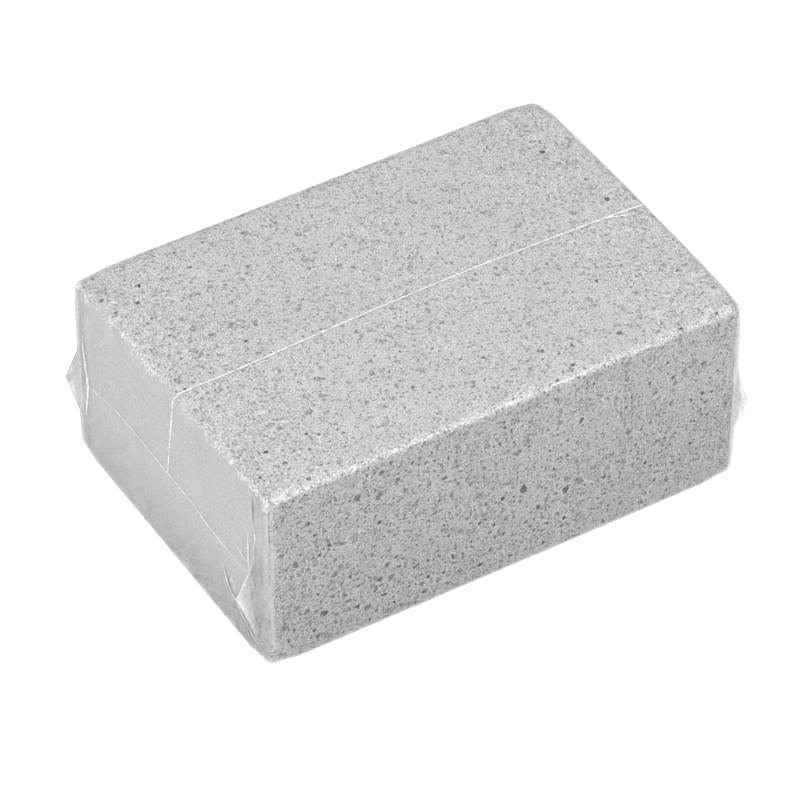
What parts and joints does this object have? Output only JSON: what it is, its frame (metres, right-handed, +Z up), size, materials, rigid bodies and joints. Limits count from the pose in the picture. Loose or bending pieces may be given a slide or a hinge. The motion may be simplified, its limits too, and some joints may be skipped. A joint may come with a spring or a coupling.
{
  "type": "pumice stone",
  "caption": "Rectangular block of grey, fine-pored pumice for scouring, with worn edges and pits, sealed in clear shrink film with a top seam, end seals and corner ears.",
  "frame": {"origin": "middle of the underside of the wrapped block, on the surface that it stands on", "axes": "+X along the block's length, +Y across it from front to back, +Z up"},
  "size_m": [0.1114, 0.0717, 0.0413],
  "materials": {
    "pumice": "matte",
    "clear_film": "gloss"
  },
  "bodies": {
    "root": {"pumice_stone": "pumice", "shrink_film": "clear_film"}
  },
  "joints": []
}
